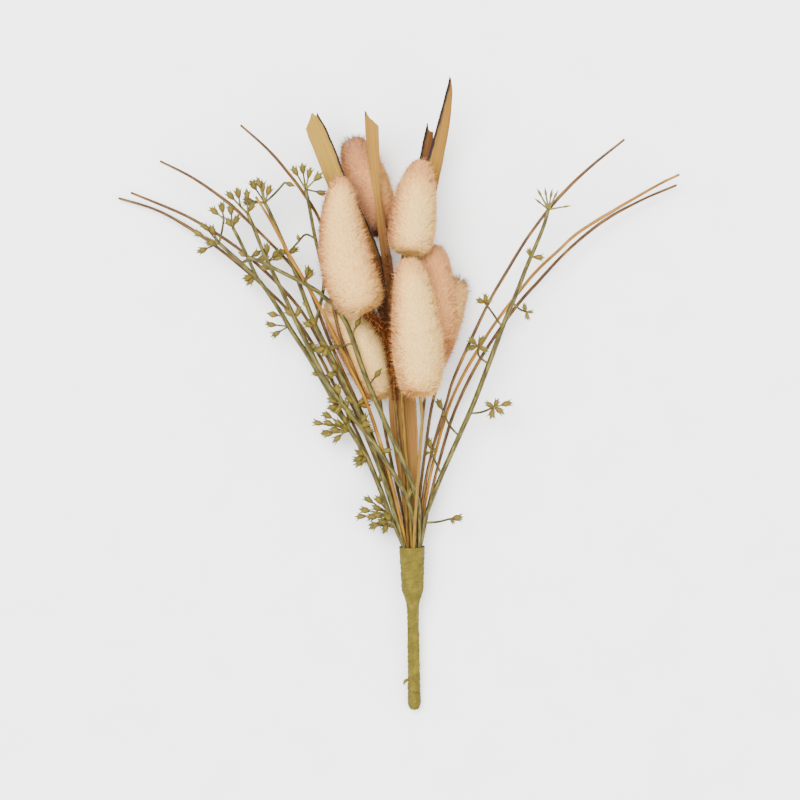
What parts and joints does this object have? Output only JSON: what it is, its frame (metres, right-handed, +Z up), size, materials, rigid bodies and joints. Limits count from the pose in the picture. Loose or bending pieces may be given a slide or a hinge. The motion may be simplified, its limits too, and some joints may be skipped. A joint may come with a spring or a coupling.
{
  "type": "dried bunny tail grass bunch",
  "caption": "Dried floral pick lying on its back: furry oval bunny tails, straw leaf strips, thin arched stalks and small budded sprays fan out from a stem wrapped in crepe tape.",
  "frame": {"origin": "the middle of the bunch's footprint, on the surface that it lies on", "axes": "+Y runs from the taped end to the heads, +X across the fan of stalks, +Z up from the surface it lies on"},
  "size_m": [0.2368, 0.2662, 0.0506],
  "materials": {
    "fluff": "short dense peach plush with fine speckle and a few long hairs, matt",
    "brown_stalk": "thin dry brown stalk with split grain, mottled light and dark, satin",
    "golden_stalk": "thin dry golden straw stalk, satin",
    "dry_leaf": "dry straw leaf with parallel veins and charred edges, matt",
    "green_spray": "grey-olive moulded sprig, satin",
    "crepe_tape": "olive-khaki waxed crepe tape wound in slanted overlaps, matt"
  },
  "bodies": {
    "root": {"tape_wrap": "crepe_tape", "bunny_tail_front_left": "fluff", "bunny_tail_back_left": "fluff", "bunny_tail_top_right": "fluff", "bunny_tail_low_left": "fluff", "bunny_tail_front_right": "fluff", "bunny_tail_mid_right": "fluff", "bunny_tail_back_right": "fluff", "leaf_left": "dry_leaf", "leaf_centre": "dry_leaf", "leaf_right": "dry_leaf", "leaf_sliver": "dry_leaf", "stalk_left_high": "brown_stalk", "stalk_left_second": "brown_stalk", "stalk_left_third": "brown_stalk", "stalk_left_low": "brown_stalk", "stalk_golden": "golden_stalk", "stalk_right_high": "brown_stalk", "stalk_right_second": "golden_stalk", "stalk_right_low": "brown_stalk", "spray_outer_left": "green_spray", "spray_middle_left": "green_spray", "spray_inner_left": "green_spray", "spray_crossing": "green_spray", "spray_right": "green_spray"}
  },
  "joints": []
}
